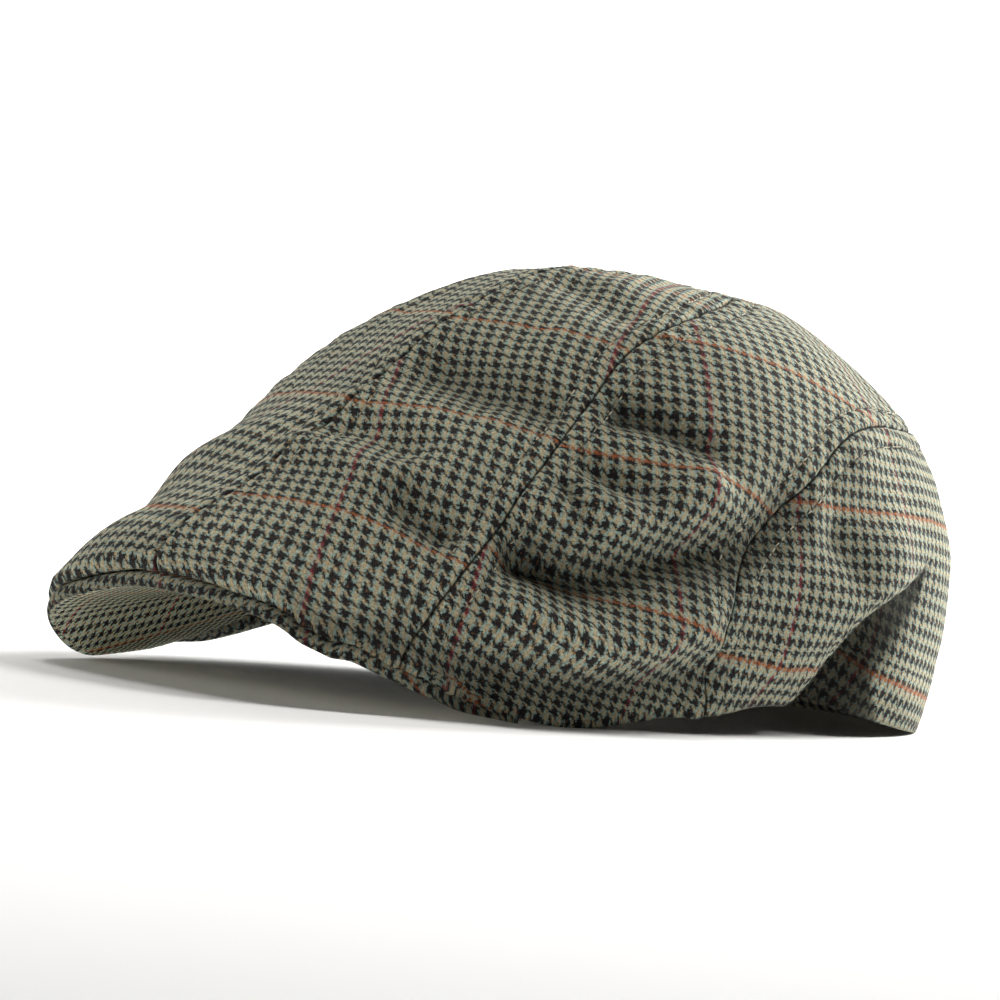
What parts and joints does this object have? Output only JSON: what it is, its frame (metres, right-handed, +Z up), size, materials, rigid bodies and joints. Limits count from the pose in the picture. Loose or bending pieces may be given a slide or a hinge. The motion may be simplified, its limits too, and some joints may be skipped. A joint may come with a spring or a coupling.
{
  "type": "flat cap",
  "caption": "Soft flat cap with a low rounded crown of sewn panels over a short covered peak, open below for the head.",
  "frame": {"origin": "middle of the bounding box, on the plane that the cap stands on", "axes": "+Z up, front of the peak at -Y, wearer's left at +X"},
  "size_m": [0.2048, 0.2756, 0.1282],
  "materials": {
    "front_cloth": "woolly dogtooth check",
    "crown_cloth": "woolly dogtooth check",
    "back_cloth": "woolly dogtooth check",
    "peak_cloth": "woolly dogtooth check over a board"
  },
  "bodies": {
    "root": {"front_panel_left": "front_cloth", "front_panel_right": "front_cloth", "crown_panel": "crown_cloth", "back_panel": "back_cloth", "peak": "peak_cloth"}
  },
  "joints": []
}
